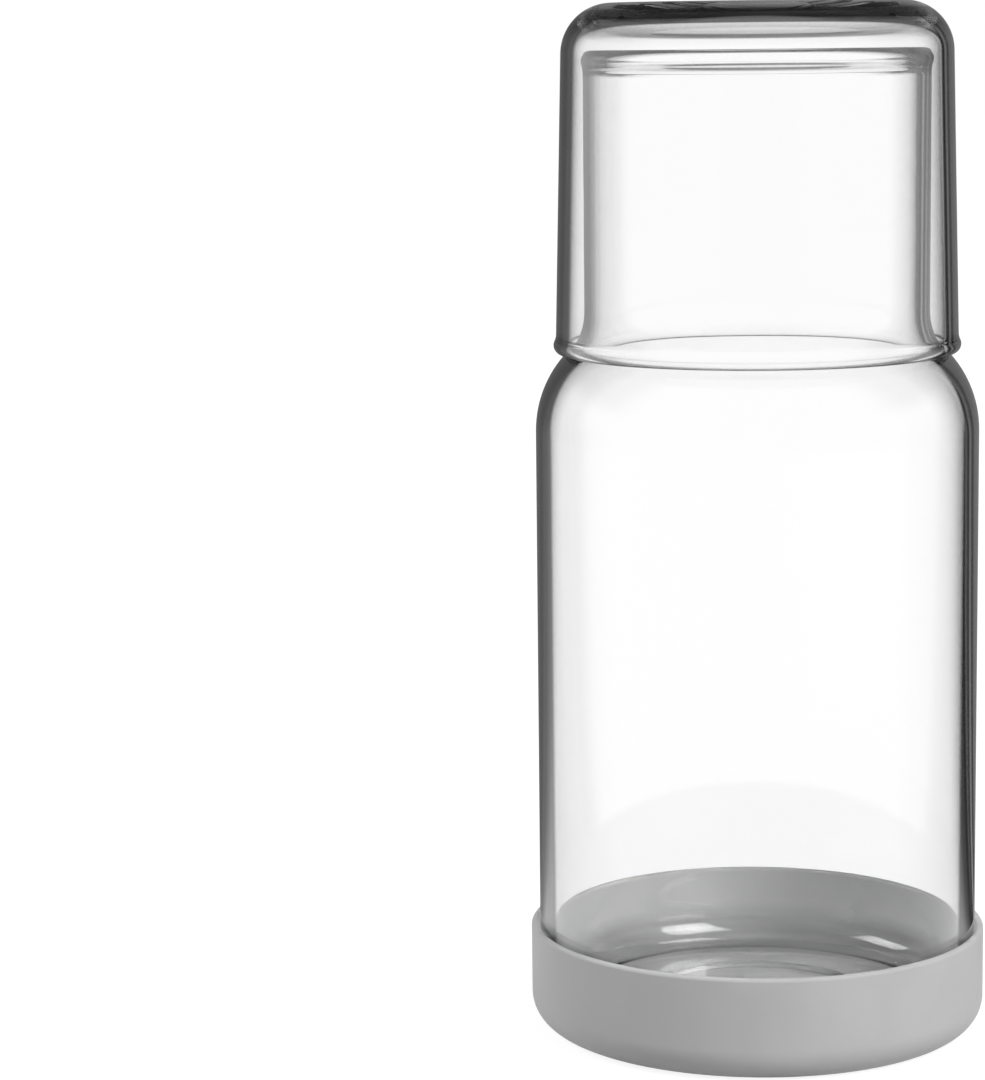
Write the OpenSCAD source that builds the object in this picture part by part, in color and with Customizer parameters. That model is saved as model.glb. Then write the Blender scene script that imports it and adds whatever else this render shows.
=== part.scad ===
// Bedside carafe with a tumbler that stands upside down over its neck, in a silicone base sleeve
// The axis of all three pieces is Z, and the sleeve stands on Z = 0

/* [Carafe] */
// Outer diameter of the body
body_d = 76; // [68:0.5:90]
// Height of the straight body, from the foot to the start of the shoulder
body_h = 103; // [80:0.5:140]
// Outer radius of the shoulder's curve
shoulder_r = 19.3; // [15:0.1:24]
// Outer diameter of the neck
neck_d = 59; // [50:0.5:64]
// Height from the start of the shoulder to the top of the lip
neck_h = 64.7; // [50:0.1:80]
// Radius of the hollow curve between the shoulder and the neck
neck_fillet_r = 10; // [4:0.1:12]
// Thickness of the blown wall
carafe_wall = 2.4; // [1.6:0.1:3.2]
// Thickness of the floor
floor_t = 3; // [2:0.1:5]
// Outer radius of the heel
heel_r = 4.5; // [4:0.1:8]
// Inner radius between the floor and the wall
inner_heel_r = 5; // [3:0.1:8]
// How far the rounded lip stands out from the neck
lip_proud = 0.35; // [0.2:0.05:0.7]
// How far the lip stands in from the neck's inner face
lip_inner_proud = 0.55; // [0.2:0.05:0.8]
// Radius of the hollow curves under the lip
lip_blend_r = 6; // [1:0.1:8]
// Diameter of the step round the push-up in the floor
punt_d = 37; // [30:0.5:52]
// Height of the push-up
punt_h = 1.4; // [0.8:0.1:2.4]
// Radius of the two curves that make the step
punt_r = 1.5; // [1.3:0.1:2.5]

/* [Tumbler] */
// Thickness of the wall
tumbler_wall = 2.4; // [1.6:0.1:3.2]
// Thickness of the base at its standing ring
tumbler_base_t = 3.2; // [2.4:0.1:6]
// Angle by which the wall widens towards the rim
tumbler_taper = 1.35; // [0.5:0.05:2.5]
// Outer radius between the wall and the base
tumbler_corner_r = 8.6; // [6:0.1:11]
// Inner radius between the wall and the base
tumbler_inner_corner_r = 5.2; // [3:0.1:8]
// How far the rounded rim stands out from the wall
rim_proud = 0.4; // [0.2:0.05:0.7]
// How far the rim stands in from the wall's inner face
rim_inner_proud = 0.1; // [0.05:0.05:0.4]
// Radius of the hollow curves between the rim and the wall
rim_blend_r = 3; // [1:0.1:5]
// Diameter of the shallow dish in the base
dish_d = 36; // [24:0.5:42]
// Depth of the dish
dish_h = 1.5; // [0.8:0.1:2]

/* [Base sleeve] */
// Height of the sleeve
sleeve_h = 18.2; // [12:0.1:30]
// Thickness of the sleeve's wall
sleeve_wall = 1.35; // [1:0.05:3]
// Thickness of the sleeve's floor
sleeve_floor = 1.8; // [1.2:0.1:3.5]
// Outer radius of the sleeve's bottom corner
sleeve_corner_r = 5.75; // [4:0.05:6.5]
// Inner radius of the sleeve's bottom corner
sleeve_inner_corner_r = 3.5; // [2:0.1:3.8]

/* [Fits] */
// Gap between the body and the sleeve
sleeve_gap = 0.15; // [0.1:0.05:0.5]
// Gap between the tumbler's rim and the shoulder it rests on
seat_gap = 0.1; // [0.05:0.05:0.4]
// Gap between the lip and the tumbler's wall
lip_gap = 1.05; // [0.5:0.05:3]
// Room between the lip and the tumbler's floor
head_gap = 4.9; // [4.5:0.1:12]

/* [Hidden] */
$fn = 128;
// Most degrees between two points of a curve, and the fewest steps that a curve takes
arc_step = 6;
arc_min_steps = 6;
side = [1, 0];
up = [0, 1];

// Carafe
foot_z = sleeve_floor;
body_r = body_d / 2;
neck_r = neck_d / 2;
neck_in_r = neck_r - carafe_wall;
shoulder_z = foot_z + body_h;
shoulder_c = [body_r - shoulder_r, shoulder_z];
neck_fillet_c = hollow_c(shoulder_c, shoulder_r, neck_r * side, side, neck_fillet_r, 1);
// The turn of the shoulder's curve, up to where the hollow curve takes over
shoulder_turn = heading(neck_fillet_c - shoulder_c);
lip_top_z = shoulder_z + neck_h;
lip_r = (carafe_wall + lip_proud + lip_inner_proud) / 2;
lip_c = [neck_r + lip_proud - lip_r, lip_top_z - lip_r];
lip_out_c = hollow_c(lip_c, lip_r, neck_r * side, side, lip_blend_r, -1);
lip_in_c = hollow_c(lip_c, lip_r, neck_in_r * side, -side, lip_blend_r, 1);
// The turn of each curve in the step round the push-up, and the width that one curve takes
punt_turn = acos(1 - punt_h / (2 * punt_r));
punt_half_w = punt_r * sin(punt_turn);

// Tumbler, upside down: its wall follows a line that leans in towards the base
wall_out = [cos(tumbler_taper), sin(tumbler_taper)];
inner_wall_p = lip_c + (lip_r + lip_gap) * side;
outer_wall_p = inner_wall_p + tumbler_wall * wall_out;
cup_floor_z = lip_top_z + head_gap;
top_z = cup_floor_z + tumbler_base_t;
rim_r = (tumbler_wall + rim_proud + rim_inner_proud) / 2;
// The rim sits on the shoulder, or on the hollow curve above it if it meets that first
shoulder_seat_c = rim_beside(shoulder_c, shoulder_r + seat_gap + rim_r, 1);
on_shoulder = heading(shoulder_seat_c - shoulder_c) < shoulder_turn;
hollow_reach = neck_fillet_r - seat_gap - rim_r;
rim_c = on_shoulder ? shoulder_seat_c : rim_beside(neck_fillet_c, hollow_reach, -1);
rim_out_c = hollow_c(rim_c, rim_r, outer_wall_p, wall_out, rim_blend_r, 1);
rim_in_c = hollow_c(rim_c, rim_r, inner_wall_p, -wall_out, rim_blend_r, -1);
dish_r = (pow(dish_d / 2, 2) + pow(dish_h, 2)) / (2 * dish_h);
dish_c = (top_z - dish_h + dish_r) * up;

// Base sleeve
sleeve_in_r = body_r + sleeve_gap;
sleeve_out_r = sleeve_in_r + sleeve_wall;
sleeve_edge_r = sleeve_wall / 2;
sleeve_edge_c = [sleeve_in_r + sleeve_edge_r, sleeve_h - sleeve_edge_r];

// The point that lies reach from c, and off from it along n, on the side that way gives
function beside(c, reach, off, n, way) =
    c + off * n + way * sqrt(reach * reach - off * off) * [-n.y, n.x];

// Middle of the curve of radius f between a disc and the outer side n of the line through p
function hollow_c(c, r, p, n, f, way) = beside(c, r + f, (p - c) * n + f, n, way);

// Middle of the rim's bead at the place in line with the tumbler's wall that lies reach from c
function rim_beside(c, reach, way) =
    beside(c, reach, (outer_wall_p - c) * wall_out + rim_proud - rim_r, wall_out, way);

// Where the line through p, square to n, is at height z
function on_line(p, n, z) = p.x - (z - p.y) * n.y / n.x;

// Direction of a vector
function heading(v) = atan2(v.y, v.x);

// A list of points the other way round
function back(points) = [for (i = [len(points) - 1 : -1 : 0]) points[i]];

// Points of a curve round c from one direction to another, without the first skip of them
function arc(c, r, from, to, skip = 0) =
    let (steps = max(arc_min_steps, ceil(abs(to - from) / arc_step)))
    [for (i = [skip : steps]) let (a = from + (to - from) * i / steps) c + r * [cos(a), sin(a)]];

// The direction of v as an angle within half a turn of near
function heading_near(v, near) = let (a = heading(v)) a - 360 * round((a - near) / 360);

// Rounded end of a wall: a bead round c, and hollow curves that run out into the wall's two faces
function bead(c, r, blend, first_c, first_n, last_c, last_n, turn) =
    let (
        rise = heading(c - first_c),
        fall = heading(c - last_c)
    )
    concat(
        arc(first_c, blend, heading_near(-first_n, rise), rise),
        arc(c, r, heading(first_c - c), heading(last_c - c) + turn, 1),
        arc(last_c, blend, fall, heading_near(-last_n, fall), 1)
    );

// The carafe's outer face drawn in by inset, from the axis at height z to the foot of the neck
function carafe_face(inset, z, heel) =
    let (
        r = body_r - inset,
        high_c = [punt_d / 2 - punt_half_w, z + punt_h - punt_r],
        low_c = [punt_d / 2 + punt_half_w, z + punt_r]
    )
    concat(
        [(z + punt_h) * up],
        arc(high_c, punt_r, 90, heading(low_c - high_c)),
        arc(low_c, punt_r, heading(high_c - low_c), -90, 1),
        arc([r - heel, z + heel], heel, -90, 0),
        arc(shoulder_c, shoulder_r - inset, 0, shoulder_turn),
        arc(neck_fillet_c, neck_fillet_r + inset, shoulder_turn + 180, 180, 1)
    );

// Corner between the tumbler's base at height z and its wall on the line through p
function tumbler_corner(p, r, z) =
    let (c_z = z - r)
    arc([on_line(p, wall_out, c_z) - r / wall_out.x, c_z], r, 90, tumbler_taper);

// Corner between the sleeve's floor at height z and its wall at radius wall_r
function sleeve_corner(wall_r, r, z) = arc([wall_r - r, z + r], r, -90, 0);

// Clear glass carafe: body, round shoulder, straight neck and rounded lip
module carafe() {
    color("lightcyan", 0.35)
    rotate_extrude()
    polygon(concat(
        carafe_face(0, foot_z, heel_r),
        bead(lip_c, lip_r, lip_blend_r, lip_out_c, side, lip_in_c, -side, 360),
        back(carafe_face(carafe_wall, foot_z + floor_t, inner_heel_r))
    ));
}

// Clear glass tumbler, upside down over the neck, with its rim on the shoulder
module tumbler() {
    color("lightcyan", 0.35)
    rotate_extrude()
    polygon(concat(
        arc(dish_c, dish_r, -90, heading([dish_d / 2, dish_h - dish_r])),
        tumbler_corner(outer_wall_p, tumbler_corner_r, top_z),
        bead(rim_c, rim_r, rim_blend_r, rim_out_c, wall_out, rim_in_c, -wall_out, -360),
        back(tumbler_corner(inner_wall_p, tumbler_inner_corner_r, cup_floor_z)),
        [cup_floor_z * up]
    ));
}

// Matt grey silicone sleeve round the carafe's foot
module base_sleeve() {
    color("darkgray")
    rotate_extrude()
    polygon(concat(
        [[0, 0]],
        sleeve_corner(sleeve_out_r, sleeve_corner_r, 0),
        arc(sleeve_edge_c, sleeve_edge_r, 0, 180),
        back(sleeve_corner(sleeve_in_r, sleeve_inner_corner_r, sleeve_floor)),
        [sleeve_floor * up]
    ));
}

base_sleeve();
carafe();
tumbler();
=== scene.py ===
import math

import bpy
from bpy.props import FloatProperty, FloatVectorProperty, IntProperty, PointerProperty
from mathutils import Matrix, Vector


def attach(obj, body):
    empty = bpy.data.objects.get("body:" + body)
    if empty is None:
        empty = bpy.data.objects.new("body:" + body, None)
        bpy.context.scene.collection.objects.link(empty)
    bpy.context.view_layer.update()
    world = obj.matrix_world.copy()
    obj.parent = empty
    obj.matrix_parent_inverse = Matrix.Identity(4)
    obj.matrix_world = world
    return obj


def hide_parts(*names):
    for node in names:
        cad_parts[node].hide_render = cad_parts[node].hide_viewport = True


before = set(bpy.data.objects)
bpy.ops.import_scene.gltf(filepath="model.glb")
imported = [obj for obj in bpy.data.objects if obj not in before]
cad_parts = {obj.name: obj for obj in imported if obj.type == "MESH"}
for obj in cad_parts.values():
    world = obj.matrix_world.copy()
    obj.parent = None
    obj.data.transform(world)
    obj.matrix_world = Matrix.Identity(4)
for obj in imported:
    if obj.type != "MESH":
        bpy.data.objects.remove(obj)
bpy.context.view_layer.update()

bl_info = {
    "name": "Bedside carafe set",
    "version": (1, 0, 0),
    "blender": (4, 5, 0),
    "location": "View3D > Sidebar > Carafe set",
    "description": "Builds a glass carafe, its tumbler and its silicone sleeve on the packed CAD frame",
    "category": "Object",
}

MM = 0.001
SIDE = Vector((1.0, 0.0))
UP = Vector((0.0, 1.0))
WHITE = (1.0, 1.0, 1.0, 1.0)
BLACK = (0.0, 0.0, 0.0, 1.0)


def length(name, description, millimetres):
    """A length of a piece, in metres, with its default given in millimetres."""
    return FloatProperty(
        name=name, description=description, default=millimetres * MM, min=0.0, unit="LENGTH", precision=5
    )


def grey(tone):
    """A plain grey."""
    return tone, tone, tone, 1.0


def tint(name, description, tone):
    """A colour, by default a grey of the given tone."""
    return FloatVectorProperty(
        name=name, description=description, default=grey(tone), size=4, min=0.0, max=1.0, subtype="COLOR"
    )


def share(name, description, value):
    """A number from 0 to 1."""
    return FloatProperty(
        name=name, description=description, default=value, min=0.0, max=1.0, subtype="FACTOR"
    )


def angle(name, description, degrees):
    """An angle, with its default given in degrees."""
    return FloatProperty(
        name=name, description=description, default=math.radians(degrees), subtype="ANGLE"
    )


def power(name, description, watts):
    """The power of a lamp."""
    return FloatProperty(name=name, description=description, default=watts, min=0.0, unit="POWER")


def per_metre(name, description, count):
    """How many of something lie along a metre."""
    return FloatProperty(name=name, description=description, default=count, min=0.0)


def edge(name, description, start, end, left):
    """Painted shade on glass: how far a face turns away before the shade starts and before it is
    full, and the tint left there.
    """
    return FloatVectorProperty(
        name=name, description=description, default=(start, end, left), size=3, min=0.0, max=1.0
    )


class CarafeSizes(bpy.types.PropertyGroup):
    """Sizes of the carafe"""

    body_diameter: length("Body diameter", "Outer diameter of the straight body", 76)
    body_height: length("Body height", "From the foot to the start of the shoulder", 103)
    shoulder_radius: length("Shoulder radius", "Outer radius of the shoulder's curve", 19.3)
    neck_diameter: length("Neck diameter", "Outer diameter of the neck", 59)
    neck_height: length("Neck height", "From the start of the shoulder to the top of the lip", 64.7)
    neck_fillet: length("Neck fillet", "Radius of the hollow curve between shoulder and neck", 10)
    wall: length("Wall", "Thickness of the blown wall", 2.4)
    floor: length("Floor", "Thickness of the floor", 3)
    heel_radius: length("Heel radius", "Outer radius of the heel", 4.5)
    inner_heel_radius: length("Inner heel radius", "Inner radius between floor and wall", 5)
    lip_proud: length("Lip proud", "How far the lip stands out from the neck", 0.35)
    lip_inner_proud: length("Lip inner proud", "How far the lip stands in from the neck's inner face", 0.55)
    lip_blend: length("Lip blend", "Radius of the hollow curves under the lip", 6)
    punt_diameter: length("Push-up diameter", "Diameter of the step round the push-up", 37)
    punt_height: length("Push-up height", "Height of the push-up in the floor", 1.4)
    punt_radius: length("Push-up radius", "Radius of the two curves of the step", 1.5)


class TumblerSizes(bpy.types.PropertyGroup):
    """Sizes of the tumbler"""

    wall: length("Wall", "Thickness of the wall", 2.4)
    base: length("Base", "Thickness of the base at its standing ring", 3.2)
    taper: angle("Taper", "Angle by which the wall widens towards the rim", 1.35)
    corner_radius: length("Corner radius", "Outer radius between wall and base", 8.6)
    inner_corner_radius: length("Inner corner radius", "Inner radius between wall and base", 5.2)
    rim_proud: length("Rim proud", "How far the rim stands out from the wall", 0.4)
    rim_inner_proud: length("Rim inner proud", "How far the rim stands in from the wall's inner face", 0.1)
    rim_blend: length("Rim blend", "Radius of the hollow curves between rim and wall", 3)
    dish_diameter: length("Dish diameter", "Diameter of the shallow dish in the base", 36)
    dish_depth: length("Dish depth", "Depth of the dish", 1.5)
    seat_gap: length("Seat gap", "Gap between the rim and the shoulder", 0.1)
    lip_gap: length("Lip gap", "Gap between the carafe's lip and the wall", 1.05)
    head_gap: length("Head gap", "Room between the carafe's lip and the tumbler's floor", 4.9)


class SleeveSizes(bpy.types.PropertyGroup):
    """Sizes of the base sleeve"""

    height: length("Height", "Height of the sleeve", 18.2)
    wall: length("Wall", "Thickness of the wall", 1.35)
    floor: length("Floor", "Thickness of the floor", 1.8)
    corner_radius: length("Corner radius", "Outer radius of the bottom corner", 5.75)
    inner_corner_radius: length("Inner corner radius", "Inner radius of the bottom corner", 3.5)
    gap: length("Gap", "Gap between the sleeve and the carafe's body", 0.15)


class GlassFinish(bpy.types.PropertyGroup):
    """Finish of the blown glass, and the painted shade on its edges"""

    clear: tint("Clear", "Tint of glass seen square on", 0.995)
    # Painted shade: each edge below darkens the glass where a face turns from the eye, standing in for the
    # dark edges that the surroundings give glass
    outer_edge_shade: edge("Outer edge", "On the outer faces", 0.62, 0.65, 0.06)
    inner_edge_shade: edge("Inner edge", "On the inner faces", 0.28, 1.0, 0.65)
    shoulder_edge_shade: edge("Shoulder edge", "On the inside of the shoulder and the neck", 0.45, 1.0, 0.65)
    heel_edge_shade: edge("Heel edge", "On the inside of the carafe's heel", 0.0, 0.3, 0.22)
    base_edge_shade: edge("Base edge", "On the corner of the tumbler's thick base", 0.18, 0.3, 0.01)
    neck_edge_shade: edge("Neck edge", "On the neck inside the tumbler", 0.62, 0.75, 0.35)
    lip_edge_shade: edge("Lip edge", "On the carafe's lip", 0.3, 0.5, 0.02)
    # The painted shade on the base's corner comes in, and clears again under the top, over these heights
    base_fade: length("Base fade", "Height over which the base's corner goes dark", 0.8)
    top_clear: length("Top clear", "How far under its top the base's corner is half clear again", 0.7)
    top_fade: length("Top fade", "Height over which it clears", 1.2)
    bend: FloatProperty(name="Refraction", description="Refractive index", default=1.47, min=1.0, max=2.0)
    ripple_size: length("Ripple size", "Spacing of the faint waves that blowing leaves", 16)
    ripple_depth: length("Ripple depth", "Depth of those waves", 0.012)
    patches: per_metre("Patches", "Patches of handling along a metre", 30.0)
    haze: share("Haze", "Roughness of those patches", 0.012)
    segments: IntProperty(name="Segments", description="Faces round each glass piece", default=288, min=32)


class SiliconeFinish(bpy.types.PropertyGroup):
    """Finish of the silicone sleeve"""

    colour: tint("Colour", "Colour of the moulded silicone", 0.36)
    # The pale colour below serves the real faint bloom and a painted highlight along the top of the rim;
    # the height after it is the span of that painted highlight
    bloom_and_rim_highlight: tint("Worn", "Paler colour of its rubbed edges and faint bloom", 0.47)
    rim_highlight_span: length("Rub", "Height over which the rim is rubbed paler", 1.2)
    grain_size: length("Grain size", "Spacing of the mould's fine grain", 0.35)
    grain_depth: length("Grain depth", "Depth of the grain", 0.02)
    patches: per_metre("Patches", "Patches of bloom along a metre", 55.0)
    bloom: share("Bloom", "How far the patches go towards the worn colour", 0.22)
    clean_roughness: share("Clean roughness", "Roughness between the patches", 0.52)
    bloom_roughness: share("Bloom roughness", "Roughness of the patches", 0.66)
    gloss: share("Gloss", "Specular level", 0.3)
    sheen: share("Sheen", "Weight of the soft sheen", 0.12)
    segments: IntProperty(name="Segments", description="Faces round the sleeve", default=192, min=32)


class StageSettings(bpy.types.PropertyGroup):
    """Camera, light and floor"""

    lens: FloatProperty(
        name="Lens", description="Focal length on a 36 mm frame", default=113.94, unit="CAMERA"
    )
    camera_distance: length("Camera distance", "From the carafe's axis to the camera", 586.82)
    camera_height: length("Camera height", "Height of the camera", 173.17)
    camera_turn: angle("Turn", "How far it looks to the left", 4.464)
    camera_dip: angle("Dip", "How far it looks down", 8.477)
    camera_roll: angle("Roll", "Turn about its own axis", -0.646)
    backdrop: tint("Backdrop", "Colour of the background", 1.0)
    ceiling: tint("Ceiling", "What is seen overhead through the glass", 0.02)
    fill: tint("Fill", "Light from all round", 0.19)
    key: power("Key", "Power of the softbox on the right", 14.0)
    rear: power("Rear", "Power of the softbox on the left", 7.4)
    right_glint: power("Right glint", "Power of the lamp that glints in the heel from the right", 0.04)
    left_glint: power("Left glint", "Power of the lamp that glints in the heel from the left", 0.016)
    floor: tint("Floor", "Colour of the floor", 0.45)
    paper: tint("Paper", "How strongly the seen floor takes light and shadow", 0.2)
    floor_glow: share("Floor glow", "How far the seen floor is lit up to the backdrop", 0.88)
    floor_size: length("Floor size", "Side of the floor", 12000)


class CarafeSet(bpy.types.PropertyGroup):
    """All that can be set"""

    carafe: PointerProperty(type=CarafeSizes)
    tumbler: PointerProperty(type=TumblerSizes)
    sleeve: PointerProperty(type=SleeveSizes)
    glass: PointerProperty(type=GlassFinish)
    silicone: PointerProperty(type=SiliconeFinish)
    stage: PointerProperty(type=StageSettings)


# Outlines: half sections as points of radius and height

# The widest angle between two points of a curve, and the fewest steps that a curve takes
CURVE_STEP = math.radians(3)
CURVE_LEAST_STEPS = 8
# The longest straight run between two points, and how close to a curve a longer one gets a point
LONG_RUN = 6 * MM
SUPPORT = 0.15 * MM
# Heights that differ by less than this are the same
SAME = 0.005 * MM
# A hair's gap that keeps the sleeve's floor and the foot on it from sharing one plane
HAIR = 0.05 * MM


def toward(angle):
    """The way that an angle points."""
    return Vector((math.cos(angle), math.sin(angle)))


def heading(v, near=None):
    """Direction of v, as the angle closest to near if that is given."""
    angle = math.atan2(v.y, v.x)
    return angle if near is None else angle - math.tau * round((angle - near) / math.tau)


def curve(centre, radius, start, end, skip=0):
    """Points of a curve round centre from one direction to another, without the first skip of them."""
    steps = max(CURVE_LEAST_STEPS, math.ceil(abs(end - start) / CURVE_STEP))
    return [centre + radius * toward(start + (end - start) * i / steps) for i in range(skip, steps + 1)]


def beside(centre, reach, off, normal, way):
    """The point that lies reach from centre, and off from it along normal, on the side that way gives."""
    along = Vector((-normal.y, normal.x))
    return centre + off * normal + way * math.sqrt(reach * reach - off * off) * along


def hollow(centre, radius, point, normal, blend, way):
    """Middle of the blend curve between a disc and the outer side of the line through point."""
    return beside(centre, radius + blend, (point - centre).dot(normal) + blend, normal, way)


def bead(centre, radius, blend, first, first_normal, last, last_normal, turn):
    """Rounded end of a wall, with hollow curves that run out into its two faces."""
    rise, fall = heading(centre - first), heading(centre - last)
    return (
        curve(first, blend, heading(-first_normal, rise), rise)
        + curve(centre, radius, heading(first - centre), heading(last - centre) + turn, 1)
        + curve(last, blend, fall, heading(-last_normal, fall), 1)
    )


class Fit:
    """Places that the carafe, the tumbler and the sleeve share."""

    def __init__(self, sizes):
        c, t, s = sizes.carafe, sizes.tumbler, sizes.sleeve
        self.foot = s.floor
        self.body = c.body_diameter / 2
        self.neck = c.neck_diameter / 2
        self.shoulder = Vector((self.body - c.shoulder_radius, self.foot + c.body_height))
        self.lip_radius = (c.wall + c.lip_proud + c.lip_inner_proud) / 2
        lip_top = self.shoulder.y + c.neck_height
        self.lip = Vector((self.neck + c.lip_proud - self.lip_radius, lip_top - self.lip_radius))
        self.wall_normal = toward(t.taper)
        self.inner_wall = self.lip + (self.lip_radius + t.lip_gap) * SIDE
        self.outer_wall = self.inner_wall + t.wall * self.wall_normal
        self.cup_floor = lip_top + t.head_gap
        self.top = self.cup_floor + t.base
        self.rim_radius = (t.wall + t.rim_proud + t.rim_inner_proud) / 2
        self.fillet = hollow(self.shoulder, c.shoulder_radius, self.neck * SIDE, SIDE, c.neck_fillet, 1)
        self.shoulder_turn = heading(self.fillet - self.shoulder)
        proud = t.rim_proud - self.rim_radius
        self.rim = self.on_wall(self.shoulder, c.shoulder_radius + t.seat_gap + self.rim_radius, proud, 1)
        if heading(self.rim - self.shoulder) >= self.shoulder_turn:
            self.rim = self.on_wall(self.fillet, c.neck_fillet - t.seat_gap - self.rim_radius, proud, -1)

    def on_wall(self, centre, reach, proud, way):
        """The point that stands proud of the tumbler's wall and lies reach from centre."""
        off = (self.outer_wall - centre).dot(self.wall_normal) + proud
        return beside(centre, reach, off, self.wall_normal, way)


def carafe_face(c, fit, inset, height, heel):
    """The carafe's outer face drawn in by inset, from the axis to the foot of the neck."""
    wall, turn = fit.body - inset, fit.shoulder_turn
    half = c.punt_radius * math.sin(math.acos(1 - c.punt_height / (2 * c.punt_radius)))
    high = Vector((c.punt_diameter / 2 - half, height + c.punt_height - c.punt_radius))
    low = Vector((c.punt_diameter / 2 + half, height + c.punt_radius))
    return (
        [(height + c.punt_height) * UP]
        + curve(high, c.punt_radius, math.pi / 2, heading(low - high))
        + curve(low, c.punt_radius, heading(high - low), -math.pi / 2, 1)
        + curve(Vector((wall - heel, height + heel)), heel, -math.pi / 2, 0)
        + curve(fit.shoulder, c.shoulder_radius - inset, 0, turn)
        + curve(fit.fillet, c.neck_fillet + inset, turn + math.pi, math.pi, 1)
    )


def carafe_outline(sizes):
    """The carafe, from its foot on the axis, over the lip, to its floor on the axis."""
    c, fit = sizes.carafe, Fit(sizes)
    outer = hollow(fit.lip, fit.lip_radius, fit.neck * SIDE, SIDE, c.lip_blend, -1)
    inner = hollow(fit.lip, fit.lip_radius, (fit.neck - c.wall) * SIDE, -SIDE, c.lip_blend, 1)
    return (
        carafe_face(c, fit, 0, fit.foot, c.heel_radius)
        + bead(fit.lip, fit.lip_radius, c.lip_blend, outer, SIDE, inner, -SIDE, math.tau)
        + carafe_face(c, fit, c.wall, fit.foot + c.floor, c.inner_heel_radius)[::-1]
    )


def tumbler_outline(sizes):
    """The tumbler, upside down, from its floor on the axis, round the rim, to its base on the axis."""
    t, fit = sizes.tumbler, Fit(sizes)
    normal = fit.wall_normal

    def corner(point, radius, height):
        level = height - radius
        wall = point.x - (level - point.y) * normal.y / normal.x
        return curve(Vector((wall - radius / normal.x, level)), radius, math.pi / 2, t.taper)

    half = t.dish_diameter / 2
    dish_radius = (half**2 + t.dish_depth**2) / (2 * t.dish_depth)
    dish = (fit.top - t.dish_depth + dish_radius) * UP
    outer = hollow(fit.rim, fit.rim_radius, fit.outer_wall, normal, t.rim_blend, 1)
    inner = hollow(fit.rim, fit.rim_radius, fit.inner_wall, -normal, t.rim_blend, -1)
    return (
        curve(dish, dish_radius, -math.pi / 2, heading(Vector((half, t.dish_depth - dish_radius))))
        + corner(fit.outer_wall, t.corner_radius, fit.top)
        + bead(fit.rim, fit.rim_radius, t.rim_blend, outer, normal, inner, -normal, -math.tau)
        + corner(fit.inner_wall, t.inner_corner_radius, fit.cup_floor)[::-1]
        + [fit.cup_floor * UP]
    )[::-1]


def sleeve_outline(sizes):
    """The sleeve, from its underside on the axis, over the rim, to its floor on the axis."""
    s, fit = sizes.sleeve, Fit(sizes)
    inside = fit.body + s.gap
    rim = Vector((inside + s.wall / 2, s.height - s.wall / 2))

    def corner(wall, radius, height):
        return curve(Vector((wall - radius, height + radius)), radius, -math.pi / 2, 0)

    return (
        [0 * UP]
        + corner(inside + s.wall, s.corner_radius, 0)
        + curve(rim, s.wall / 2, 0, math.pi)
        + corner(inside, s.inner_corner_radius, s.floor - HAIR)[::-1]
        + [(s.floor - HAIR) * UP]
    )


def cut(outline, at):
    """The outline in two, cut at one of its points."""
    return outline[: at + 1], outline[at:]


def carafe_faces(c, fit, outline):
    """The carafe's outside, its inside wall with the heel, and its floor."""
    outside, inside = cut(outline, max(range(len(outline)), key=lambda i: outline[i].y))
    heel_start = fit.body - c.wall - c.inner_heel_radius
    return outside, *cut(inside, max(i for i, p in enumerate(inside) if p.x > heel_start) + 1)


def tumbler_faces(fit, outline):
    """The tumbler's inside, its outside wall with the corner, and its base."""
    inside, outside = cut(outline, min(range(len(outline)), key=lambda i: outline[i].y))
    return inside, *cut(outside, next(i for i, p in enumerate(outside) if p.y > fit.top - SAME))


def supported(outline):
    """The outline with more points on its straight runs, so that the shading turns only on the curves."""
    points = outline[:1]
    for a, b in zip(outline, outline[1:]):
        run = (b - a).length
        if run > LONG_RUN:
            steps = math.ceil(run / LONG_RUN)
            inner = [i / steps for i in range(1, steps)]
            points += [a.lerp(b, t) for t in (SUPPORT / run, *inner, 1 - SUPPORT / run)]
        points.append(b)
    return points


def turned(name, faces_drawn, segments, node, body):
    """A piece turned in place of its CAD node, from outlines and their materials, from axis to axis."""
    points, finishes = [], []
    for outline, material in faces_drawn:
        drawn = supported(outline)
        points += drawn[1:] if points else drawn
        finishes += [material] * (len(drawn) - 1)
    round_it = [toward(math.tau * i / segments) for i in range(segments)]
    verts = [(p.x * way.x, p.x * way.y, p.y) for p in points[1:-1] for way in round_it]
    ends = len(verts), len(verts) + 1
    verts += [(0.0, 0.0, points[0].y), (0.0, 0.0, points[-1].y)]
    steps = [(i, (i + 1) % segments) for i in range(segments)]
    rings = range(0, ends[0], segments)
    faces = [(a + i, a + j, a + segments + j, a + segments + i) for a in rings[:-1] for i, j in steps]
    faces += [(ends[0], j, i) for i, j in steps]
    faces += [(ends[1], rings[-1] + i, rings[-1] + j) for i, j in steps]
    mesh = bpy.data.meshes.new(name)
    mesh.from_pydata(verts, [], faces)
    mesh.shade_smooth()
    materials = list(dict.fromkeys(finishes))
    for material in materials:
        mesh.materials.append(material)
    rows = [materials.index(finish) for finish in finishes[1:-1] + finishes[:1] + finishes[-1:]]
    mesh.polygons.foreach_set("material_index", [row for row in rows for _ in range(segments)])
    piece = bpy.data.objects.new(name, mesh)
    bpy.context.scene.collection.objects.link(piece)
    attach(piece, body)
    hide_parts(node)
    return piece


# Finishes
def new_node(tree, kind, **values):
    """A node with values set on its settings, or on its inputs where the key names one."""
    node = tree.nodes.new(kind)
    for key, value in values.items():
        if hasattr(node, key):
            setattr(node, key, value)
        else:
            node.inputs[key.replace("_", " ")].default_value = value
    return node


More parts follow.
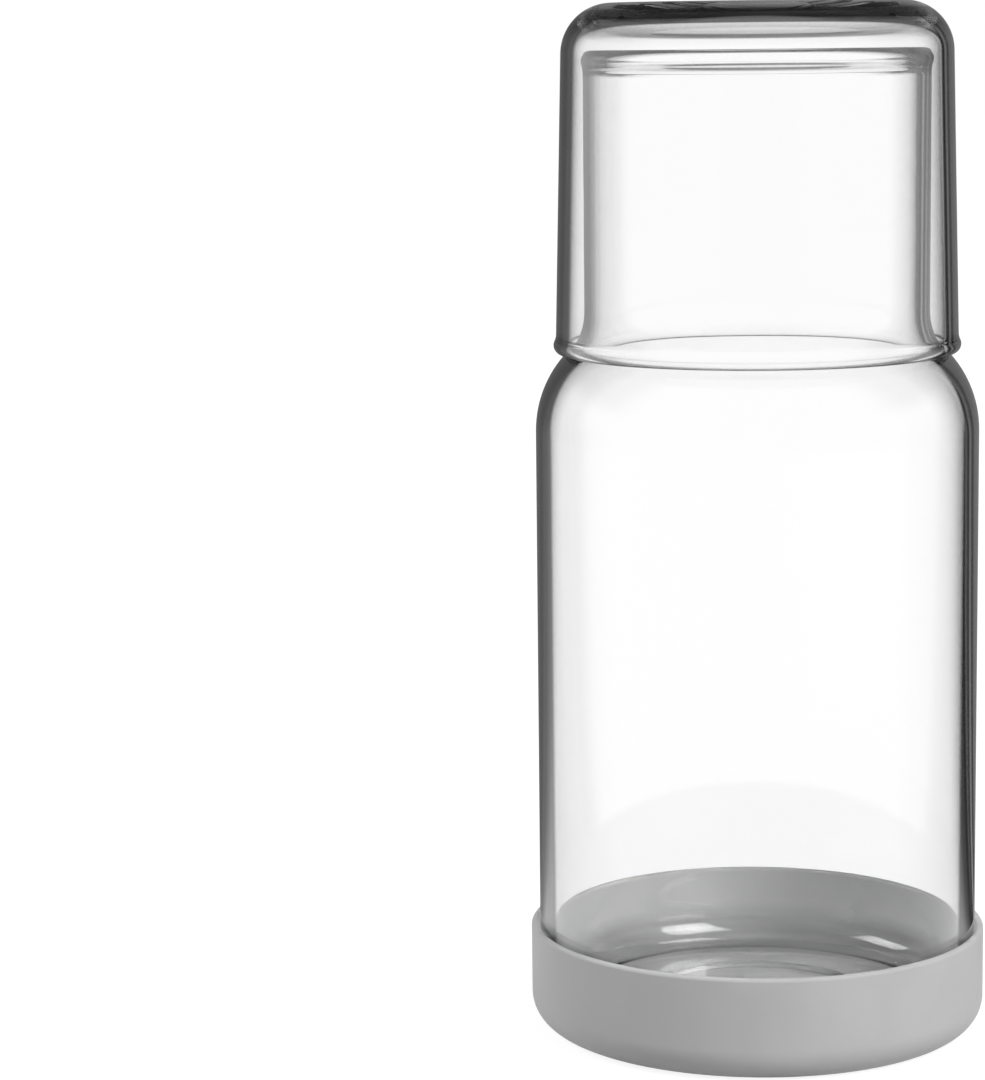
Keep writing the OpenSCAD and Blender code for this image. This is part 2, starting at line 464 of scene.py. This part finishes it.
def feed(tree, socket, given):
    """Links an input to the socket that is given, or sets it to the value that is given."""
    if isinstance(given, bpy.types.NodeSocket):
        tree.links.new(given, socket)
    else:
        socket.default_value = given


def ramp(tree, stops):
    """A colour ramp with the given stops of place and colour."""
    node = tree.nodes.new("ShaderNodeValToRGB")
    elements = node.color_ramp.elements
    for element, (place, colour) in zip(elements, (stops[0], stops[-1])):
        element.position, element.color = place, colour
    for place, colour in stops[1:-1]:
        elements.new(place).color = colour
    return node


def mixed(tree, amount, first, second):
    """A colour that goes from first to second with amount; each is a socket or a value."""
    node = new_node(tree, "ShaderNodeMix", data_type="RGBA")
    factor = next(s for s in node.inputs if s.name == "Factor" and s.type == "VALUE")
    colours = [s for s in node.inputs if s.type == "RGBA"]
    for socket, given in zip([factor, *colours], (amount, first, second)):
        feed(tree, socket, given)
    return next(s for s in node.outputs if s.type == "RGBA")


def ranged(tree, value, low, high, span=(0.0, 1.0), smooth=False):
    """A value that goes from low to high, each a socket or a number, as another goes over a span."""
    node = new_node(tree, "ShaderNodeMapRange", interpolation_type="SMOOTHSTEP" if smooth else "LINEAR")
    given = {"Value": value, "From Min": span[0], "From Max": span[1], "To Min": low, "To Max": high}
    for name, source in given.items():
        feed(tree, node.inputs[name], source)
    return node.outputs["Result"]


def above(tree, height, soft):
    """A mask of what lies above a height, which comes in over a soft stretch."""
    place = tree.nodes.new("ShaderNodeTexCoord")
    split = tree.nodes.new("ShaderNodeSeparateXYZ")
    tree.links.new(place.outputs["Object"], split.inputs["Vector"])
    return ranged(tree, split.outputs["Z"], 0.0, 1.0, (height - soft / 2, height + soft / 2))


# The stretch of the noise over which a patch of handling comes in
PATCH_SPAN = (0.38, 0.68)


def film_group():
    """Soft patches of handling and dust, as a mask and a fine height."""
    group = bpy.data.node_groups.get("Handling film")
    if group:
        return group
    group = bpy.data.node_groups.new("Handling film", "ShaderNodeTree")
    face = group.interface
    for name, default in (("Patch scale", 40.0), ("Grain scale", 2000.0)):
        face.new_socket(name, in_out="INPUT", socket_type="NodeSocketFloat").default_value = default
    for name in ("Mask", "Grain"):
        face.new_socket(name, in_out="OUTPUT", socket_type="NodeSocketFloat")
    given, made = group.nodes.new("NodeGroupInput"), group.nodes.new("NodeGroupOutput")
    place = group.nodes.new("ShaderNodeTexCoord")
    patches = new_node(group, "ShaderNodeTexNoise", Detail=3.0, Roughness=0.55)
    grain = new_node(group, "ShaderNodeTexNoise", Detail=2.0, Roughness=0.6)
    link = group.links.new
    for noise, scale in ((patches, "Patch scale"), (grain, "Grain scale")):
        link(place.outputs["Object"], noise.inputs["Vector"])
        link(given.outputs[scale], noise.inputs["Scale"])
    mask = ranged(group, patches.outputs["Fac"], 0.0, 1.0, PATCH_SPAN, smooth=True)
    link(mask, made.inputs["Mask"])
    link(grain.outputs["Fac"], made.inputs["Grain"])
    return group


# White, grey and black cards behind the set, which only reflections show: how far to the right each
# tone lies, from -1 to 1, and how bright it is
CARDS = (
    (-1.0, 1.0),
    (-0.8, 1.0),
    (-0.74, 0.6),
    (-0.68, 0.35),
    (-0.6, 0.3),
    (-0.56, 0.2),
    (-0.5, 0.16),
    (-0.05, 0.16),
    (0.0, 0.2),
    (0.31, 0.25),
    (0.5, 0.25),
    (0.54, 0.04),
    (0.57, 0.04),
    (0.6, 0.3),
    (0.625, 0.55),
    (0.645, 0.2),
    (0.665, 0.03),
    (0.76, 0.06),
    (0.82, 0.3),
    (0.88, 0.8),
    (0.93, 1.0),
    (1.0, 1.0),
)
# The near side of the room, in front of the set: where it takes over from the cards, and how bright it is
NEAR_SIDE = (0.1, -0.4)
NEAR_LIGHT = 1.0
# How steeply up the cards start to end and have ended, and how bright it is above them
CARD_TOP = (0.25, 0.5)
DARK_OVERHEAD = 0.12
# How steeply up the room starts to go dark and is dark, for what is seen through the glass
CEILING = (0.5, 0.75)
# How far from the set the floor starts to brighten towards the backdrop and is as bright, in metres
FAR_FLOOR = (0.15, 0.9)


def card_group():
    """What reflections see round the set: the cards behind it, and a white room on the near side."""
    group = bpy.data.node_groups.get("Cards")
    if group:
        return group
    group = bpy.data.node_groups.new("Cards", "ShaderNodeTree")
    group.interface.new_socket("Direction", in_out="INPUT", socket_type="NodeSocketVector")
    group.interface.new_socket("Light", in_out="OUTPUT", socket_type="NodeSocketFloat")
    given, made = group.nodes.new("NodeGroupInput"), group.nodes.new("NodeGroupOutput")
    level = new_node(group, "ShaderNodeVectorMath", operation="MULTIPLY")
    level.inputs[1].default_value = (1.0, 1.0, 0.0)
    way = new_node(group, "ShaderNodeVectorMath", operation="NORMALIZE")
    across = group.nodes.new("ShaderNodeSeparateXYZ")
    height = group.nodes.new("ShaderNodeSeparateXYZ")
    cards = ramp(group, [((side + 1) / 2, grey(tone)) for side, tone in CARDS])
    link = group.links.new
    link(given.outputs["Direction"], height.inputs["Vector"])
    link(given.outputs["Direction"], level.inputs[0])
    link(level.outputs["Vector"], way.inputs[0])
    link(way.outputs["Vector"], across.inputs["Vector"])
    link(ranged(group, across.outputs["X"], 0.0, 1.0, (-1.0, 1.0)), cards.inputs["Fac"])
    behind = cards.outputs["Color"]
    behind = ranged(group, height.outputs["Z"], behind, DARK_OVERHEAD, CARD_TOP, smooth=True)
    light = ranged(group, across.outputs["Y"], behind, NEAR_LIGHT, NEAR_SIDE, smooth=True)
    link(light, made.inputs["Light"])
    return group


def fresh_material(name):
    """A new material, with its node tree and its shader."""
    material = bpy.data.materials.new(name)
    material.use_nodes = True
    return material, material.node_tree, material.node_tree.nodes["Principled BSDF"]


def filmed(tree, patches, grain_size):
    """The mask and the fine height of a handling film, with so many patches along a metre."""
    film = new_node(tree, "ShaderNodeGroup", node_tree=film_group(), Patch_scale=patches)
    film.inputs["Grain scale"].default_value = 1.0 / grain_size
    return film.outputs["Mask"], film.outputs["Grain"]


def rippled(tree, shader, height, strength, depth):
    """Gives a shader the fine relief of a height."""
    relief = new_node(tree, "ShaderNodeBump", Strength=strength, Distance=depth)
    tree.links.new(height, relief.inputs["Height"])
    tree.links.new(relief.outputs["Normal"], shader.inputs["Normal"])


def painted_edge_shade(tree, clear, darkening):
    """Painted shade on glass: its colour darkened where it turns away, or the clear tint where none is
    painted.
    """
    if darkening is None:
        return clear
    start, end, left = darkening
    turn = new_node(tree, "ShaderNodeLayerWeight", Blend=0.5)
    tones = ramp(tree, [(start, clear), (end, grey(left))])
    tree.links.new(turn.outputs["Facing"], tones.inputs["Fac"])
    return tones.outputs["Color"]


def blown_glass(name, finish, lowest, *zones):
    """Clear glass with faint waves and a trace of handling. Painted shade darkens it where it turns away,
    as lowest says, and above the height of each zone, which comes in over a soft stretch, as that zone
    says."""
    material, tree, shader = fresh_material(name)
    shader.inputs["Transmission Weight"].default_value = 1.0
    shader.inputs["IOR"].default_value = finish.bend
    clear = tuple(finish.clear)
    # Painted shade in the base colour, zone by zone
    shade = painted_edge_shade(tree, clear, lowest)
    for height, soft, darkening in zones:
        shade = mixed(tree, above(tree, height, soft), shade, painted_edge_shade(tree, clear, darkening))
    feed(tree, shader.inputs["Base Color"], shade)
    mask, waves = filmed(tree, finish.patches, finish.ripple_size)
    tree.links.new(ranged(tree, mask, 0.0, finish.haze), shader.inputs["Roughness"])
    rippled(tree, shader, waves, strength=1.0, depth=finish.ripple_depth)
    return material


def moulded_silicone(name, finish, height):
    """Matt grey silicone: fine grain, faint bloom, and a pale painted highlight on the rim at the given
    height.
    """
    material, tree, shader = fresh_material(name)
    link = tree.links.new
    bloom_and_rim_highlight = tuple(finish.bloom_and_rim_highlight)
    mask, grain = filmed(tree, finish.patches, finish.grain_size)
    colour = mixed(tree, ranged(tree, mask, 0.0, finish.bloom), tuple(finish.colour), bloom_and_rim_highlight)
    # Painted highlight: the top of the rim is mixed towards the pale colour
    colour = mixed(tree, above(tree, height, finish.rim_highlight_span), colour, bloom_and_rim_highlight)
    link(colour, shader.inputs["Base Color"])
    link(ranged(tree, mask, finish.clean_roughness, finish.bloom_roughness), shader.inputs["Roughness"])
    shader.inputs["Specular IOR Level"].default_value = finish.gloss
    shader.inputs["Sheen Weight"].default_value = finish.sheen
    rippled(tree, shader, grain, strength=0.5, depth=finish.grain_depth)
    return material


class CARAFE_OT_blow_carafe(bpy.types.Operator):
    """Build the glass carafe"""

    bl_idname = "carafe_set.blow_carafe"
    bl_label = "Carafe"

    def execute(self, context):
        sizes = context.scene.carafe_set
        c, finish, fit = sizes.carafe, sizes.glass, Fit(sizes)
        outside, inside, floor = carafe_faces(c, fit, carafe_outline(sizes))
        # Painted shade on the carafe's faces, by height: neck, lip, wall, shoulder and heel
        neck_zone = (fit.rim.y, fit.rim_radius, finish.neck_edge_shade)
        lip_zone = (fit.lip.y - fit.lip_radius, fit.lip_radius, finish.lip_edge_shade)
        outer = blown_glass("carafe_glass_outside", finish, finish.outer_edge_shade, neck_zone, lip_zone)
        wall_start = fit.foot + c.floor + c.inner_heel_radius
        wall_zone = (wall_start, c.inner_heel_radius, finish.inner_edge_shade)
        shoulder_zone = (fit.shoulder.y, c.shoulder_radius / 2, finish.shoulder_edge_shade)
        zones = wall_zone, shoulder_zone, lip_zone
        inner = blown_glass("carafe_glass_inside", finish, finish.heel_edge_shade, *zones)
        clear = blown_glass("carafe_glass_floor", finish, None)
        faces = (outside, outer), (inside, inner), (floor, clear)
        turned("carafe_blown", faces, finish.segments, "carafe", "carafe")
        return {"FINISHED"}


class CARAFE_OT_blow_tumbler(bpy.types.Operator):
    """Build the glass tumbler"""

    bl_idname = "carafe_set.blow_tumbler"
    bl_label = "Tumbler"

    def execute(self, context):
        sizes = context.scene.carafe_set
        finish, fit = sizes.glass, Fit(sizes)
        inside, outside, base = tumbler_faces(fit, tumbler_outline(sizes))
        # Painted shade on the tumbler's faces, by height: inner corner and thick base
        inner_radius = sizes.tumbler.inner_corner_radius
        corner_zone = (fit.cup_floor - inner_radius, inner_radius / 2, None)
        inner = blown_glass("tumbler_glass_inside", finish, finish.inner_edge_shade, corner_zone)
        base_zone = (fit.cup_floor, finish.base_fade, finish.base_edge_shade)
        top_zone = (fit.top - finish.top_clear, finish.top_fade, None)
        outer = blown_glass("tumbler_glass_outside", finish, finish.outer_edge_shade, base_zone, top_zone)
        clear = blown_glass("tumbler_glass_base", finish, None)
        faces = (inside, inner), (outside, outer), (base, clear)
        turned("tumbler_blown", faces, finish.segments, "tumbler", "tumbler")
        return {"FINISHED"}


class CARAFE_OT_mould_sleeve(bpy.types.Operator):
    """Build the silicone sleeve"""

    bl_idname = "carafe_set.mould_sleeve"
    bl_label = "Base sleeve"

    def execute(self, context):
        sizes = context.scene.carafe_set
        grey_rubber = moulded_silicone("sleeve_silicone", sizes.silicone, sizes.sleeve.height)
        faces = [(sleeve_outline(sizes), grey_rubber)]
        turned("sleeve_moulded", faces, sizes.silicone.segments, "base_sleeve", "base_sleeve")
        return {"FINISHED"}


# Each softbox's place, and its width and height, and the spot on the axis that both light, in metres
KEY_BOX = (0.62, -0.60, 0.62), (0.5, 0.8)
REAR_BOX = (-0.87, 0.06, 0.55), (0.55, 0.35)
LIT_SPOT = (0.0, 0.0, 0.05)
# The spots inside the carafe's heel where the two softboxes glint, in metres
KEY_SPOT = (-0.0117, 0.031, 0.008)
REAR_SPOT = (0.024, 0.022, 0.008)
# How far a glint's lamp is from its spot, and how narrowly its grid keeps it to that spot
GLINT_REACH = 120 * MM
GLINT_SPREAD = math.radians(70)
# Most surfaces of thin glass that a ray crosses before it leaves the nearest wall
WALL_CROSSINGS = 3


def area_lamp(name, place, target, size, power):
    """A rectangular lamp that gloss doesn't show, with its light path and the strength to be set by it."""
    lamp = bpy.data.lights.new(name, "AREA")
    lamp.shape, lamp.size, lamp.size_y, lamp.energy = "RECTANGLE", size[0], size[1], power
    lamp.use_nodes = True
    box = bpy.data.objects.new(name, lamp)
    box.location = place
    box.rotation_euler = (Vector(target) - Vector(place)).to_track_quat("-Z", "Y").to_euler()
    box.visible_glossy = False
    bpy.context.scene.collection.objects.link(box)
    path = lamp.node_tree.nodes.new("ShaderNodeLightPath")
    return box, path.outputs, lamp.node_tree.nodes["Emission"].inputs["Strength"]


def softbox(name, box, power):
    """A softbox that lights the set and doesn't show in the glass."""
    place, size = box
    lamp, path, strength = area_lamp(name, place, LIT_SPOT, size, power)
    tree = lamp.data.node_tree
    shown = mixed(tree, path["Transmission Depth"], WHITE, BLACK)
    shown = mixed(tree, path["Diffuse Depth"], shown, WHITE)
    tree.links.new(shown, strength)


def glint(name, spot, box, power):
    """A small lamp in place of a softbox, as a spot inside the heel sees it. It lights nothing, and only
    shows in what the glass mirrors behind its nearest wall."""
    place, size = box
    way = Vector(place) - Vector(spot)
    scale = GLINT_REACH / way.length
    near = Vector(spot) + scale * way
    lamp, path, strength = area_lamp(name, near, spot, [side * scale for side in size], power)
    lamp.visible_diffuse = False
    lamp.data.spread = GLINT_SPREAD
    tree = lamp.data.node_tree
    through = (WALL_CROSSINGS, WALL_CROSSINGS + 1)
    shown = ranged(tree, path["Transmission Depth"], 0.0, 1.0, through)
    shown = mixed(tree, path["Glossy Depth"], BLACK, shown)
    shown = mixed(tree, path["Diffuse Depth"], shown, BLACK)
    tree.links.new(shown, strength)


class CARAFE_OT_set_stage(bpy.types.Operator):
    """Set the floor, the light and the camera"""

    bl_idname = "carafe_set.set_stage"
    bl_label = "Stage"

    def execute(self, context):
        stage = context.scene.carafe_set.stage
        self.paint_world(context.scene, stage)
        self.lay_floor(context.scene, stage)
        softbox("key_softbox", KEY_BOX, stage.key)
        softbox("rear_softbox", REAR_BOX, stage.rear)
        glint("right_glint", KEY_SPOT, KEY_BOX, stage.right_glint)
        glint("left_glint", REAR_SPOT, REAR_BOX, stage.left_glint)
        self.place_camera(context.scene, stage)
        self.set_cycles(context.scene)
        return {"FINISHED"}

    def paint_world(self, scene, stage):
        """A white backdrop, a dark ceiling through the glass, cards in reflections, and an even fill."""
        world = bpy.data.worlds.new("studio")
        world.use_nodes = True
        scene.world = world
        tree = world.node_tree
        link = tree.links.new
        white = tuple(stage.backdrop)
        path = tree.nodes.new("ShaderNodeLightPath").outputs
        way = tree.nodes.new("ShaderNodeTexCoord").outputs["Generated"]
        split = tree.nodes.new("ShaderNodeSeparateXYZ")
        link(way, split.inputs["Vector"])
        room = ramp(tree, [(CEILING[0], white), (CEILING[1], tuple(stage.ceiling))])
        link(split.outputs["Z"], room.inputs["Fac"])
        cards = new_node(tree, "ShaderNodeGroup", node_tree=card_group())
        link(way, cards.inputs["Direction"])
        shown = mixed(tree, cards.outputs["Light"], BLACK, white)
        light = mixed(tree, path["Glossy Depth"], room.outputs["Color"], shown)
        light = mixed(tree, path["Diffuse Depth"], light, tuple(stage.fill))
        light = mixed(tree, path["Is Camera Ray"], light, white)
        link(light, tree.nodes["Background"].inputs["Color"])

    def lay_floor(self, scene, stage):
        """A wide square of pale paper under the set."""
        mesh = bpy.data.meshes.new("floor")
        reach = stage.floor_size / 2
        corners = (-reach, -reach, 0.0), (reach, -reach, 0.0), (reach, reach, 0.0), (-reach, reach, 0.0)
        mesh.from_pydata(corners, [], [range(4)])
        mesh.materials.append(self.floor_paper(stage))
        floor = bpy.data.objects.new("floor", mesh)
        scene.collection.objects.link(floor)

    def floor_paper(self, stage):
        """Paper that is seen as white as the backdrop, apart from the shadow on it, and that lights the set
        as plain pale paper does."""
        material, tree, shader = fresh_material("floor_paper")
        link = tree.links.new
        white = tuple(stage.backdrop)
        path = tree.nodes.new("ShaderNodeLightPath").outputs
        place = tree.nodes.new("ShaderNodeTexCoord").outputs["Object"]
        cards = new_node(tree, "ShaderNodeGroup", node_tree=card_group())
        link(place, cards.inputs["Direction"])
        shown = ranged(tree, path["Glossy Depth"], 1.0, cards.outputs["Light"])
        paper = mixed(tree, shown, BLACK, tuple(stage.paper))
        paper = mixed(tree, path["Transmission Depth"], paper, BLACK)
        paper = mixed(tree, path["Diffuse Depth"], paper, tuple(stage.floor))
        link(paper, shader.inputs["Base Color"])
        away = new_node(tree, "ShaderNodeVectorMath", operation="LENGTH")
        link(place, away.inputs[0])
        far = ranged(tree, away.outputs["Value"], stage.floor_glow, 1.0, FAR_FLOOR)
        glow = mixed(tree, far, BLACK, white)
        glow = mixed(tree, path["Transmission Depth"], glow, white)
        glow = mixed(tree, shown, BLACK, glow)
        glow = mixed(tree, path["Diffuse Depth"], glow, BLACK)
        link(glow, shader.inputs["Emission Color"])
        shader.inputs["Emission Strength"].default_value = 1.0
        shader.inputs["Roughness"].default_value = 0.9
        shader.inputs["Specular IOR Level"].default_value = 0.0
        return material

    def place_camera(self, scene, stage):
        """The photograph's view of the set."""
        data = bpy.data.cameras.new("camera")
        data.lens = stage.lens
        data.sensor_width = 36.0
        data.clip_start, data.clip_end = 0.01, 100.0
        camera = bpy.data.objects.new("camera", data)
        turn = Matrix.Rotation(stage.camera_turn, 4, "Z")
        turn = turn @ Matrix.Rotation(math.pi / 2 - stage.camera_dip, 4, "X")
        turn = turn @ Matrix.Rotation(stage.camera_roll, 4, "Z")
        camera.matrix_world = Matrix.Translation((0, -stage.camera_distance, stage.camera_height)) @ turn
        scene.collection.objects.link(camera)
        scene.camera = camera

    def set_cycles(self, scene):
        """Plain tones, and enough bounces for glass behind glass."""
        scene.view_settings.view_transform = "Standard"
        scene.cycles.max_bounces = 32
        scene.cycles.transmission_bounces = 32
        scene.cycles.glossy_bounces = 16
        scene.cycles.blur_glossy = 0.0
        scene.cycles.sample_clamp_indirect = 30.0


class CARAFE_PT_set(bpy.types.Panel):
    """Panel of the carafe set"""

    bl_label = "Carafe set"
    bl_space_type = "VIEW_3D"
    bl_region_type = "UI"
    bl_category = "Carafe set"

    def draw(self, context):
        sizes = context.scene.carafe_set
        for operator, groups in PANEL_ROWS:
            box = self.layout.box()
            box.operator(operator.bl_idname)
            for group in groups:
                values = getattr(sizes, group)
                for key in values.__annotations__:
                    box.prop(values, key)


PANEL_ROWS = (
    (CARAFE_OT_blow_carafe, ("carafe", "glass")),
    (CARAFE_OT_blow_tumbler, ("tumbler",)),
    (CARAFE_OT_mould_sleeve, ("sleeve", "silicone")),
    (CARAFE_OT_set_stage, ("stage",)),
)
CLASSES = (
    CarafeSizes,
    TumblerSizes,
    SleeveSizes,
    GlassFinish,
    SiliconeFinish,
    StageSettings,
    CarafeSet,
    CARAFE_OT_blow_carafe,
    CARAFE_OT_blow_tumbler,
    CARAFE_OT_mould_sleeve,
    CARAFE_OT_set_stage,
    CARAFE_PT_set,
)


def register():
    for cls in CLASSES:
        bpy.utils.register_class(cls)
    bpy.types.Scene.carafe_set = PointerProperty(type=CarafeSet)


def unregister():
    del bpy.types.Scene.carafe_set
    for cls in reversed(CLASSES):
        bpy.utils.unregister_class(cls)


def main():
    register()
    bpy.ops.carafe_set.mould_sleeve()
    bpy.ops.carafe_set.blow_carafe()
    bpy.ops.carafe_set.blow_tumbler()
    bpy.ops.carafe_set.set_stage()
    bpy.context.view_layer.update()


if __name__ == "__main__":
    main()
